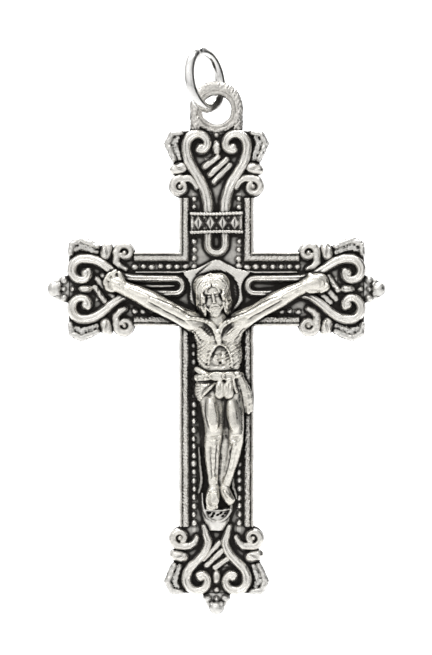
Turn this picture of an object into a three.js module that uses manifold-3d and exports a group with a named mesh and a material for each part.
// A small cast crucifix pendant, 2 inches tall, with a loop at the top and a wire jump ring through it.
// Millimetres. +Z runs up the cross, the figure faces -Y, and the flat back lies in the plane Y = 0.
// The origin is on the back, behind the point where the middle lines of the two bars cross.

import * as THREE from 'three';
import { mergeVertices } from 'three/addons/utils/BufferGeometryUtils.js';
import Module from 'manifold-3d';

const wasm = await Module();
wasm.setup();

// ---- driving dimensions ----------------------------------------------------------------------

const PLATE_THICKNESS = 1.2;
const BAR_HALF_WIDTH = 3.45;          // half the width of the upright and of the arms
const LAYER_GAP = 0.02;               // clearance between two modelled features that meet
const FACE = -PLATE_THICKNESS - LAYER_GAP;

// How far each end reaches from the crossing, to the outer edge of its two scrolls.
const REACH = { top: 15.2, left: 14.2, bottom: 29.05, right: 14.2 };
const END_TURN = { top: 0, right: Math.PI / 2, bottom: Math.PI, left: -Math.PI / 2 };

// The lyre: a hairpin of half-round moulding that opens into two curls at the end of each bar.
const LYRE_WIDTH = 0.94;
const LYRE_HEIGHT = 0.95;
const CURL_RADIUS = 1.13;             // middle line of the moulding, at the outer side of the curl
const CURL_INSIDE = 0.42;             // the same, where it meets the pearl
const CURL_ACROSS = 1.72;             // centre of the curl, from the bar's middle line
const CURL_TURNS = 0.74;
const PEARL = { radius: 0.5, height: 0.85, aside: 0.22, inward: 0.16 };   // from the centre of the curl
// Half the distance between the legs, their shift off the bar's middle line, where the bend lies and
// how long the flare is, measured out along the bar.
const LYRE_LEGS = {
  top: { half: 0.8, aside: 0, end: 3.4, flare: 6.1, round: true },
  left: { half: 0.7, aside: 0.27, end: 3.2, flare: 5.2, round: true },
  right: { half: 0.7, aside: -0.27, end: 3.0, flare: 5.2, round: true },
  bottom: { half: 0.8, aside: 0, end: 23.55, flare: 3.7, round: false },
};

// The ornaments of an end, each placed by its distance across the bar and in from the reach.
const VOLUTE = { across: 3.45, inward: 5.45, radius: 0.72, ball: 0.5, width: 0.58, height: 0.8,
  ground: 1.0 };
const LEAF = { across: 3.6, inward: 3.72, long: 0.8, wide: 0.56, height: 0.75, lean: -0.25, ground: 0.72 };
const CORNER = { across: 4.95, inward: 1.3, tipAcross: 4.35, tipInward: 0.2, bar: 0.52, height: 0.8 };
const PELLET = { inward: 1.8, half: 0.42, long: 0.68, height: 0.6 };
const BARS = { count: 3, inward: 3.15, pitch: 0.52, length: 1.5, shorter: 0.18, deep: 0.4, wide: 0.3 };
const FINIAL = { length: 1.85, foot: 1.4, neck: 0.85, lobe: 0.74, height: 0.9, back: -0.35, front: -1.0 };
const FINIAL_BUMP = { across: 0.72, out: 0.45, radius: 0.42, height: 0.7 };

// Rim mouldings and bead rows, which turn the four inner corners of the cross.
const RIM_OUTER = 0.36;
const RIM_INNER = 0.42;
const RIM_HEIGHT = 0.85;
const RIM_INNER_HEIGHT = 0.68;
const BEAD_LINE = 2.12;               // middle of the bead row, from the bar's middle line
const BEAD_RADIUS = 0.28;
const BEAD_PITCH = 0.8;
const BEAD_STRIP = 0.5;
const BEAD_STRIP_HEIGHT = 0.12;
const BEAD_RUN = { arm: 7.5, top: 8.3, foot: 22.3 };     // how far the bead rows run from the crossing
const RIM_RUN = { arm: 7.8, top: 8.6, foot: 22.45 };     // the same for the rims

// The middle of the cross: the field round the head, the ground of the body, the scroll and the footrest.
const BED_HEIGHT = 0.5;
const HALO = { z: -0.38, radius: 2.05 };
const TITLE = { low: 5.15, high: 7.28, halfWidth: 2.58, thickness: 0.36, rail: 0.34, relief: 0.2,
  footAcross: 1.58, footWide: 0.5, footTall: 1.73, footHeight: 1.1 };
const LOZENGES = { count: 4, pitch: 1.18, half: 0.4, tall: 0.52 };
const FOOTREST = { top: -20.74, bottom: -21.66, halfWidth: 1.42, depth: 1.5,
  corbelEnd: -22.78, corbelHalf: 0.66, corbelDepth: 1.15 };

// The loop is cast with the cross, and the jump ring is a separate ring of drawn wire.
const LOOP = { z: 17.2, radius: 2.49, hole: 1.375, holeZ: 16.95, foot: 15.14, thickness: 1.3, back: -0.5 };
const RING_WIRE = 1.0;
const RING_RADIUS = 2.7;              // middle of the wire
const RING_CENTRE = new THREE.Vector3(-1.08, -1.85, 19.71);
const RING_YAW = THREE.MathUtils.degToRad(32);
const RING_LEAN = THREE.MathUtils.degToRad(7.4);
const RING_BUTT = THREE.MathUtils.degToRad(112);         // where in its turn the two ends meet
const RING_GAP = 0.06;

// The figure. Each entry is a place and a radius, in millimetres.
const FIGURE_BACK = -1.74;            // flat back of the body, above the bead rows
const ARM_BACK = FACE - LYRE_HEIGHT - LAYER_GAP;
const BODY = {
  chest: { at: [0.05, -2.55, -5.0], size: [2.12, 1.25, 2.2] },
  belly: { at: [0.15, -2.4, -7.3], size: [1.62, 1.1, 1.7] },
  hips: { at: [0.3, -2.5, -9.3], size: [2.15, 1.25, 1.65] },
  head: { at: [-0.28, -3.0, -0.45], size: [1.28, 1.4, 1.75] },
  hair: { at: [-0.25, -2.5, -0.7], size: [1.72, 1.05, 2.1] },
};
const LIMBS = [
  // neck, then each arm from the shoulder to the hand, then each leg from the hip to the toes
  { from: [0, -2.7, -3.2], to: [-0.2, -2.8, -1.6], radii: [0.85, 0.75] },
  { from: [-1.8, -2.6, -3.4], to: [-5.2, -3.0, -1.98], radii: [0.95, 0.86] },
  { from: [-5.2, -3.0, -1.98], to: [-8.1, -2.85, -0.3], radii: [0.86, 0.62] },
  { from: [-8.1, -2.85, -0.3], to: [-9.7, -2.8, 0.62], radii: [0.62, 0.8] },
  { from: [1.95, -2.6, -3.3], to: [4.9, -3.0, -1.45], radii: [0.95, 0.8] },
  { from: [4.9, -3.0, -1.45], to: [7.9, -2.85, 0.1], radii: [0.8, 0.56] },
  { from: [7.9, -2.85, 0.1], to: [9.65, -2.85, 0.6], radii: [0.58, 0.88] },
  { from: [-0.5, -2.6, -9.6], to: [-0.22, -3.1, -13.5], radii: [1.15, 0.78] },
  { from: [-0.22, -3.1, -13.5], to: [-0.22, -2.4, -18.5], radii: [0.78, 0.46] },
  { from: [-0.22, -2.4, -18.5], to: [-0.4, -2.75, -20.0], radii: [0.48, 0.6] },
  { from: [1.4, -2.55, -9.6], to: [1.76, -3.0, -13.6], radii: [1.0, 0.68] },
  { from: [1.76, -3.0, -13.6], to: [0.72, -2.38, -18.6], radii: [0.68, 0.42] },
  { from: [0.72, -2.38, -18.6], to: [1.3, -2.6, -19.85], radii: [0.44, 0.42] },
  // the loincloth's knot and the end that hangs at the hip
  { from: [0.4, -3.3, -8.9], to: [0.5, -3.3, -10.4], radii: [0.62, 0.5] },
  { from: [2.2, -2.5, -8.8], to: [2.7, -2.3, -11.5], radii: [0.5, 0.36] },
];

const cross = new THREE.Group();

// ---- solids ----------------------------------------------------------------------------------

// A closed geometry as a solid that can be joined and cut, with its faces pointing out.
function solidOf(geometry) {
  const loose = geometry.index ? geometry.toNonIndexed() : geometry.clone();
  loose.deleteAttribute('normal');
  loose.deleteAttribute('uv');
  const merged = mergeVertices(loose, 1e-4);
  const places = merged.attributes.position;
  const corners = Array.from(merged.index.array);
  const a = new THREE.Vector3();
  const b = new THREE.Vector3();
  const c = new THREE.Vector3();
  const triangles = [];
  let volume = 0;
  for (let i = 0; i < corners.length; i += 3) {
    const [p, q, r] = corners.slice(i, i + 3);
    if (p === q || q === r || r === p) continue;
    triangles.push(p, q, r);
    a.fromBufferAttribute(places, p);
    b.fromBufferAttribute(places, q);
    c.fromBufferAttribute(places, r);
    volume += a.dot(b.cross(c));
  }
  if (volume < 0) triangles.reverse();
  const mesh = new wasm.Mesh({
    numProp: 3,
    vertProperties: new Float32Array(places.array),
    triVerts: new Uint32Array(triangles),
  });
  mesh.merge();
  return new wasm.Manifold(mesh);
}

function joined(solids) {
  return solids.reduce((whole, next) => whole.add(next));
}

// Adds one named sub-part to a group.
function addPart(group, name, solid, material) {
  const mesh = solid.getMesh();
  const geometry = new THREE.BufferGeometry();
  geometry.setAttribute('position', new THREE.BufferAttribute(mesh.vertProperties, 3));
  geometry.setIndex(new THREE.BufferAttribute(mesh.triVerts, 1));
  geometry.computeVertexNormals();
  const part = new THREE.Mesh(geometry, material);
  part.name = name;
  group.add(part);
}

function silver(color, roughness) {
  return new THREE.MeshStandardMaterial({ color, roughness, metalness: 1 });
}

// An outline drawn in X and Z, standing forward (towards -Y) of the plane Y = back.
function raised(shape, height, back = FACE, curveSegments = 6) {
  const geometry = new THREE.ExtrudeGeometry(shape, { depth: height, bevelEnabled: false, curveSegments });
  geometry.rotateX(Math.PI / 2);
  geometry.translate(0, back, 0);
  return solidOf(geometry);
}

function block(x, z, width, tall, height, back = FACE) {
  const geometry = new THREE.BoxGeometry(width, height, tall);
  geometry.translate(x, back - height / 2, z);
  return solidOf(geometry);
}

function polygon(points) {
  return new THREE.Shape(points.map(([x, z]) => new THREE.Vector2(x, z)));
}

function disc(x, z, radius) {
  const shape = new THREE.Shape();
  shape.absarc(x, z, radius, 0, Math.PI * 2);
  return shape;
}

// Half-round moulding along a line of [x, z] points: flat on the plane Y = back, crowned in front.
function moulding(points, width, height, steps, back = FACE) {
  const path = new THREE.CatmullRomCurve3(points.map(([x, z]) => new THREE.Vector3(x, back, z)));
  const half = width / 2;
  const shoulder = [height * 0.62, half * 0.86];
  const section = polygon([[0, -half], [shoulder[0], -shoulder[1]], [height, 0], shoulder, [0, half]]);
  return solidOf(new THREE.ExtrudeGeometry(section, { steps, extrudePath: path, bevelEnabled: false }));
}

// A low dome or pearl: an ellipsoid centred on the plane Y = back, with its back half cut away.
function dome(x, z, [halfX, halfY, halfZ], back = FACE, sides = 8, turn = 0) {
  const geometry = new THREE.SphereGeometry(1, sides, 6);
  geometry.rotateX(Math.PI / 2);
  geometry.scale(halfX, halfY, halfZ);
  geometry.rotateY(turn);
  geometry.translate(x, back, z);
  return solidOf(geometry).subtract(block(x, z, 6, 6, 4, back + 4));
}

function ellipsoid({ at, size }, sides = 12, rings = 8) {
  const geometry = new THREE.SphereGeometry(1, sides, rings);
  geometry.scale(...size);
  geometry.translate(...at);
  return solidOf(geometry);
}

// A limb: a cone with round ends from one joint to the next.
function limb({ from, to, radii }, sides = 8) {
  const start = new THREE.Vector3(...from);
  const end = new THREE.Vector3(...to);
  const length = start.distanceTo(end);
  const profile = [];
  const roundSteps = 3;
  for (let i = 0; i <= roundSteps; i++) {
    const angle = -Math.PI / 2 * (1 - i / roundSteps);
    profile.push(new THREE.Vector2(radii[0] * Math.cos(angle), radii[0] * Math.sin(angle)));
  }
  for (let i = 0; i <= roundSteps; i++) {
    const angle = Math.PI / 2 * i / roundSteps;
    profile.push(new THREE.Vector2(radii[1] * Math.cos(angle), length + radii[1] * Math.sin(angle)));
  }
  profile[0].x = 0;
  profile.at(-1).x = 0;
  const geometry = new THREE.LatheGeometry(profile, sides);
  const up = new THREE.Vector3(0, 1, 0);
  const along = end.clone().sub(start).normalize();
  geometry.applyQuaternion(new THREE.Quaternion().setFromUnitVectors(up, along));
  geometry.translate(...from);
  return solidOf(geometry);
}

// ---- plate -----------------------------------------------------------------------------------

// Half of the outline of one end, from the neck of the bar out to its middle line.
function endOutline(reach) {
  const side = [
    [BAR_HALF_WIDTH, reach - 6.6],
    [4.0, reach - 4.6],
    [4.2, reach - 2.95],
    [CORNER.across, reach - CORNER.inward],
    [CORNER.tipAcross, reach - CORNER.tipInward],
    [2.6, reach - 0.08],
  ];
  const mirrored = side.map(([across, out]) => [-across, out]).reverse();
  return polygon([...side, ...mirrored]);
}

function endPlate(reach) {
  const volutes = [-1, 1].map((side) => disc(side * VOLUTE.across, reach - VOLUTE.inward, VOLUTE.ground));
  const leaves = [-1, 1].map((side) => disc(side * (LEAF.across + 0.05), reach - LEAF.inward, LEAF.ground));
  const shapes = [endOutline(reach), ...volutes, ...leaves];
  return joined(shapes.map((shape) => raised(shape, PLATE_THICKNESS, 0, 5)));
}

function plate() {
  const upright = block(0, (REACH.top - REACH.bottom) / 2, 2 * BAR_HALF_WIDTH,
    REACH.top + REACH.bottom - 8, PLATE_THICKNESS, 0);
  const arms = block(0, 0, REACH.left + REACH.right - 8, 2 * BAR_HALF_WIDTH, PLATE_THICKNESS, 0);
  const ends = Object.keys(REACH).map((end) => {
    const degrees = THREE.MathUtils.radToDeg(END_TURN[end]);
    return endPlate(REACH[end]).rotate([0, degrees, 0]);
  });
  return joined([upright, arms, ...ends]);
}

addPart(cross, 'cross_plate', plate(), silver(0x8d8a84, 0.5));

// ---- rims and beads --------------------------------------------------------------------------

// An L that turns one inner corner: a band from inner to outer along the upright and along the arm.
function cornerBand(sideX, sideZ, inner, outer, armEnd, uprightEnd) {
  const points = [[inner, inner], [armEnd, inner], [armEnd, outer], [outer, outer], [outer, uprightEnd],
    [inner, uprightEnd]];
  return polygon(points.map(([x, z]) => [sideX * x, sideZ * z]));
}

function rim(sideX, sideZ, uprightEnd) {
  const edge = BAR_HALF_WIDTH;
  const step = edge - RIM_OUTER;
  const armEnd = RIM_RUN.arm;
  const outer = cornerBand(sideX, sideZ, step, edge, armEnd, uprightEnd);
  const inner = cornerBand(sideX, sideZ, step - RIM_INNER, step + 0.05, armEnd, uprightEnd);
  return raised(outer, RIM_HEIGHT).add(raised(inner, RIM_INNER_HEIGHT));
}

function beadRow(sideX, sideZ, uprightEnd) {
  const inner = BEAD_LINE - BEAD_STRIP / 2;
  const outer = BEAD_LINE + BEAD_STRIP / 2;
  const strip = raised(cornerBand(sideX, sideZ, inner, outer, BEAD_RUN.arm, uprightEnd), BEAD_STRIP_HEIGHT);
  const places = [[BEAD_LINE, BEAD_LINE]];
  for (let run = BEAD_LINE + BEAD_PITCH; run < BEAD_RUN.arm - BEAD_RADIUS; run += BEAD_PITCH) {
    places.push([run, BEAD_LINE]);
  }
  for (let run = BEAD_LINE + BEAD_PITCH; run < uprightEnd - BEAD_RADIUS; run += BEAD_PITCH) {
    places.push([BEAD_LINE, run]);
  }
  const beads = places.map(([x, z]) => {
    const geometry = new THREE.IcosahedronGeometry(BEAD_RADIUS);
    geometry.translate(sideX * x, FACE - BEAD_STRIP_HEIGHT, sideZ * z);
    return solidOf(geometry);
  });
  const behind = block(0, 0, 60, 80, 3, FACE + 3);
  return joined([strip, ...beads]).subtract(behind);
}

for (const [high, sideZ, way] of [['upper', 1, 'top'], ['lower', -1, 'foot']]) {
  for (const [hand, sideX] of [['left', -1], ['right', 1]]) {
    addPart(cross, `rim_${high}_${hand}`, rim(sideX, sideZ, RIM_RUN[way]), silver(0xb4b1ab, 0.35));
    addPart(cross, `beads_${high}_${hand}`, beadRow(sideX, sideZ, BEAD_RUN[way]), silver(0x9f9c96, 0.35));
  }
}

// ---- ends ------------------------------------------------------------------------------------

// Middle line of one side of the lyre, from the pearl round the curl and down the flare.
function lyreSide(reach, legs, side) {
  const curlOut = reach - CURL_RADIUS - LYRE_WIDTH / 2;
  const points = [];
  const curlSteps = 9;
  for (let i = curlSteps; i >= 0; i--) {
    const along = i / curlSteps;
    const angle = CURL_TURNS * 2 * Math.PI * along;
    const radius = THREE.MathUtils.lerp(CURL_RADIUS, CURL_INSIDE, along ** 2.2);
    points.push([side * (CURL_ACROSS + radius * Math.cos(angle)), curlOut + radius * Math.sin(angle)]);
  }
  const widest = side * (CURL_ACROSS + CURL_RADIUS);
  const leg = legs.aside + side * legs.half;
  const flare = new THREE.CubicBezierCurve(
    new THREE.Vector2(widest, curlOut),
    new THREE.Vector2(widest, curlOut - 0.42 * legs.flare),
    new THREE.Vector2(leg, curlOut - 0.48 * legs.flare),
    new THREE.Vector2(leg, curlOut - legs.flare),
  );
  const flareSteps = 4;
  for (let i = 1; i <= flareSteps; i++) {
    const { x, y } = flare.getPoint(i / flareSteps);
    points.push([x, y]);
  }
  return points;
}

function lyre(end) {
  const reach = REACH[end];
  const legs = LYRE_LEGS[end];
  const right = lyreSide(reach, legs, 1);
  const left = lyreSide(reach, legs, -1).reverse();
  const turn = [];
  if (legs.round) {
    const turnSteps = 4;
    for (let i = 0; i <= turnSteps; i++) {
      const angle = -Math.PI * i / turnSteps;
      turn.push([legs.aside + legs.half * Math.cos(angle), legs.end + legs.half * (1 + Math.sin(angle))]);
    }
  } else {
    turn.push([0, legs.end - 0.12]);
  }
  const steps = 54;
  const band = moulding([...right, ...turn, ...left], LYRE_WIDTH, LYRE_HEIGHT, steps);
  const curlOut = reach - CURL_RADIUS - LYRE_WIDTH / 2;
  const pearlSides = 7;
  const pearls = [-1, 1].map((side) => dome(side * (CURL_ACROSS - PEARL.aside), curlOut - PEARL.inward,
    [PEARL.radius, PEARL.height, PEARL.radius], FACE, pearlSides));
  return joined([band, ...pearls]);
}

// A small curl that springs from the lyre and rolls up against the end of the rim.
function volute(reach, side) {
  const { across, inward, radius, ball, width, height } = VOLUTE;
  const out = reach - inward;
  const points = [[2.05, out - 0.4], [2.42, out + 0.4]];
  for (let i = 0; i <= 6; i++) {
    const angle = Math.PI * (0.72 - 0.24 * i);
    points.push([across + radius * Math.cos(angle), out + radius * Math.sin(angle)]);
  }
  const placed = points.map(([x, z]) => [side * x, z]);
  return moulding(placed, width, height, 12).add(dome(side * across, out, [ball, height, ball], FACE, 6));
}

function leaf(reach, side) {
  const { across, inward, long, wide, height, lean } = LEAF;
  return dome(side * across, reach - inward, [long, height, wide], FACE, 8, side * lean);
}

// A corner bracket: an end bar and a side bar that meet at the blunt corner, round a sunk triangle.
function corner(reach, side) {
  const { across, inward, tipAcross, tipInward, bar, height } = CORNER;
  const outline = [[3.3, 0.12], [tipAcross, tipInward], [across, inward], [4.28, 2.85], [3.86, 2.75],
    [across - bar * 1.15, inward + 0.12], [tipAcross - 0.12, tipInward + bar], [3.36, 0.62]];
  return raised(polygon(outline.map(([x, w]) => [side * x, reach - w])), height);
}

// The pierced-looking panel in the mouth of the lyre: three slanting bars and an oval pellet.
function lattice(reach) {
  const base = polygon([[-0.95, reach - 3.0], [0.95, reach - 3.0], [0.5, reach - 4.6], [-0.5, reach - 4.6]]);
  const bars = Array.from({ length: BARS.count }, (_, i) => {
    const bar = new THREE.BoxGeometry(BARS.length - BARS.shorter * i, BARS.deep, BARS.wide);
    bar.rotateY(-Math.PI / 4);
    bar.translate(0, FACE - 0.25, reach - BARS.inward - BARS.pitch * i);
    return solidOf(bar);
  });
  const stem = block(0, reach - 2.6, 0.24, 1.2, 0.3);
  const pellet = dome(0, reach - PELLET.inward, [PELLET.half, PELLET.height, PELLET.long]);
  return joined([raised(base, 0.14), ...bars, stem, pellet]).subtract(block(0, reach, 8, 16, 3, FACE + 3));
}

// A tapered point at the tip of an end, with a round knob and two bumps beside its foot.
function finial(reach) {
  const { length, foot, neck, lobe, height, back, front } = FINIAL;
  const base = reach + 0.03;
  const tip = base + length - lobe;
  const thick = back - front + LAYER_GAP;
  const sides = polygon([[-foot, base], [foot, base], [neck, tip - 0.1], [-neck, tip - 0.1]]);
  const taper = raised(sides, thick, back);
  const web = raised(disc(0, tip, lobe * 0.98), thick, back, 4);
  const knob = dome(0, tip, [lobe, height, lobe], front);
  const bumps = [-1, 1].map((side) => dome(side * FINIAL_BUMP.across, base + FINIAL_BUMP.out,
    [FINIAL_BUMP.radius, FINIAL_BUMP.height, FINIAL_BUMP.radius], front, 7));
  return joined([taper, web, knob, ...bumps]).subtract(block(0, base - 3, 8, 6, 8, 2));
}

for (const end of Object.keys(REACH)) {
  const group = new THREE.Group();
  group.rotation.y = END_TURN[end];
  cross.add(group);
  addPart(group, `${end}_lyre`, lyre(end), silver(0xc0bdb6, 0.3));
  addPart(group, `${end}_lattice`, lattice(REACH[end]), silver(0x96938d, 0.4));
  for (const [name, side] of [['a', -1], ['b', 1]]) {
    addPart(group, `${end}_volute_${name}`, volute(REACH[end], side), silver(0xbab7b1, 0.3));
    addPart(group, `${end}_leaf_${name}`, leaf(REACH[end], side), silver(0xbfbcb6, 0.3));
    addPart(group, `${end}_corner_${name}`, corner(REACH[end], side), silver(0xb0ada7, 0.35));
  }
  if (end !== 'top') {
    addPart(group, `${end}_finial`, finial(REACH[end]), silver(0xb6b3ad, 0.35));
  }
}

// ---- middle of the cross ---------------------------------------------------------------------

// The smooth field round the head, with a round sinking for the halo.
function centrePanel() {
  const side = [[0, 2.85], [1.75, 1.95], [2.5, 1.15], [2.5, -1.15], [1.75, -1.95], [1.2, -2.75]];
  const mirrored = side.slice(1).map(([x, z]) => [-x, z]).reverse();
  const sinking = raised(disc(0, HALO.z, HALO.radius), 3, 1, 9);
  return raised(polygon([...side, ...mirrored]), BED_HEIGHT).subtract(sinking);
}

// The raised ground that the body and legs are cast on.
function figureBed() {
  const side = [[1.2, -2.8], [1.72, -4], [1.72, -11], [1.5, -18.5], [1.7, -20.2], [1.3, -20.7]];
  const mirrored = side.map(([x, z]) => [-x, z]).reverse();
  return raised(polygon([...side, ...mirrored]), BED_HEIGHT);
}

// The scroll above the head: a strip on two feet, with a rail along each edge and four lozenges.
function titleScroll() {
  const { low, high, halfWidth, thickness, rail, relief } = TITLE;
  const middle = (low + high) / 2;
  const front = ARM_BACK - thickness;
  const strip = block(0, middle, 2 * halfWidth, high - low, thickness, ARM_BACK);
  const feet = [-1, 1].map((side) =>
    block(side * TITLE.footAcross, middle, TITLE.footWide, TITLE.footTall, TITLE.footHeight));
  const rails = [low + rail / 2, high - rail / 2].map((z) =>
    block(0, z, 2 * halfWidth, rail, relief, front + LAYER_GAP));
  const { count, pitch, half, tall } = LOZENGES;
  const lozenges = Array.from({ length: count }, (_, i) => {
    const x = (i - (count - 1) / 2) * pitch;
    const outline = [[x - half, middle], [x, middle - tall], [x + half, middle], [x, middle + tall]];
    return raised(polygon(outline), relief, front + LAYER_GAP);
  });
  return joined([strip, ...feet, ...rails, ...lozenges]);
}

// A banded footrest over a tapered corbel.
function footrest() {
  const { top, bottom, halfWidth, depth, corbelEnd, corbelHalf, corbelDepth } = FOOTREST;
  const band = block(0, (top + bottom) / 2, 2 * halfWidth, top - bottom, depth);
  const neck = halfWidth - 0.12;
  const taper = [[neck, bottom + 0.02], [neck, bottom - 0.1], [corbelHalf, corbelEnd],
    [-corbelHalf, corbelEnd], [-neck, bottom - 0.1], [-neck, bottom + 0.02]];
  return band.add(raised(polygon(taper), corbelDepth));
}

// The figure, cast in one with the cross: head, body and limbs, flat behind.
function corpus() {
  const forms = [...Object.values(BODY).map((form) => ellipsoid(form)), ...LIMBS.map((bone) => limb(bone))];
  const behindBody = block(0, -10, 4.9, 40, 6, FIGURE_BACK + 6);
  const behindArms = block(0, 0, 40, 20, 6, ARM_BACK + 6).subtract(block(0, -5, 4.86, 60, 14, 7));
  return joined(forms).subtract(behindBody).subtract(behindArms);
}

addPart(cross, 'centre_panel', centrePanel(), silver(0xbdbab3, 0.35));
addPart(cross, 'figure_bed', figureBed(), silver(0x77746e, 0.5));
addPart(cross, 'title_scroll', titleScroll(), silver(0xaeaba5, 0.35));
addPart(cross, 'footrest', footrest(), silver(0xb4b0a8, 0.35));
addPart(cross, 'corpus', corpus(), silver(0xc4beb2, 0.35));

// ---- loop and ring ---------------------------------------------------------------------------

// The loop cast on top of the cross: a round eye on two straight sides, its edges rounded over.
function bailLoop() {
  const { z, radius, hole, holeZ, foot, thickness, back } = LOOP;
  const outline = [[radius, foot]];
  const arcSteps = 16;
  for (let i = 0; i <= arcSteps; i++) {
    const angle = Math.PI * i / arcSteps;
    outline.push([radius * Math.cos(angle), z + radius * Math.sin(angle)]);
  }
  outline.push([-radius, foot]);
  const round = 0.32;
  const geometry = new THREE.ExtrudeGeometry(polygon(outline), { depth: thickness - 2 * round,
    bevelEnabled: true, bevelThickness: round, bevelSize: round * 0.8, bevelOffset: -round * 0.8,
    bevelSegments: 2 });
  geometry.rotateX(Math.PI / 2);
  geometry.translate(0, back - round, 0);
  const straight = thickness / 2 - round;
  const flared = thickness / 2 + 0.1;
  const eyeProfile = [[0, -flared], [hole + round, -flared], [hole, -straight], [hole, straight],
    [hole + round, flared], [0, flared]].map(([r, y]) => new THREE.Vector2(r, y));
  const eye = new THREE.LatheGeometry(eyeProfile, 24);
  eye.translate(0, back - thickness / 2, holeZ);
  const rebate = block(0, foot, 8, 0.4, 3, FACE + LAYER_GAP * 2);
  return solidOf(geometry).subtract(solidOf(eye)).subtract(rebate);
}

// The jump ring: round wire bent to a circle, with its two ends butted.
function jumpRing() {
  const lean = new THREE.Quaternion().setFromAxisAngle(new THREE.Vector3(0, 1, 0), -RING_LEAN);
  const sideways = new THREE.Vector3(Math.sin(RING_YAW), Math.cos(RING_YAW), 0).applyQuaternion(lean);
  const upwards = new THREE.Vector3(0, 0, 1).applyQuaternion(lean);
  const gap = RING_GAP / RING_RADIUS;
  class RingLine extends THREE.Curve {
    getPoint(t, target = new THREE.Vector3()) {
      const angle = RING_BUTT + gap / 2 + t * (2 * Math.PI - gap);
      target.copy(RING_CENTRE).addScaledVector(sideways, RING_RADIUS * Math.cos(angle));
      return target.addScaledVector(upwards, RING_RADIUS * Math.sin(angle));
    }
  }
  const sides = 9;
  const section = new THREE.Shape();
  for (let i = 0; i < sides; i++) {
    const angle = 2 * Math.PI * i / sides;
    section[i ? 'lineTo' : 'moveTo'](RING_WIRE / 2 * Math.cos(angle), RING_WIRE / 2 * Math.sin(angle));
  }
  const steps = 40;
  const sweep = { steps, extrudePath: new RingLine(), bevelEnabled: false };
  return solidOf(new THREE.ExtrudeGeometry(section, sweep));
}

addPart(cross, 'bail_loop', bailLoop(), silver(0xa9a6a0, 0.35));
addPart(cross, 'jump_ring', jumpRing(), silver(0xdedbd4, 0.2));

export default cross;
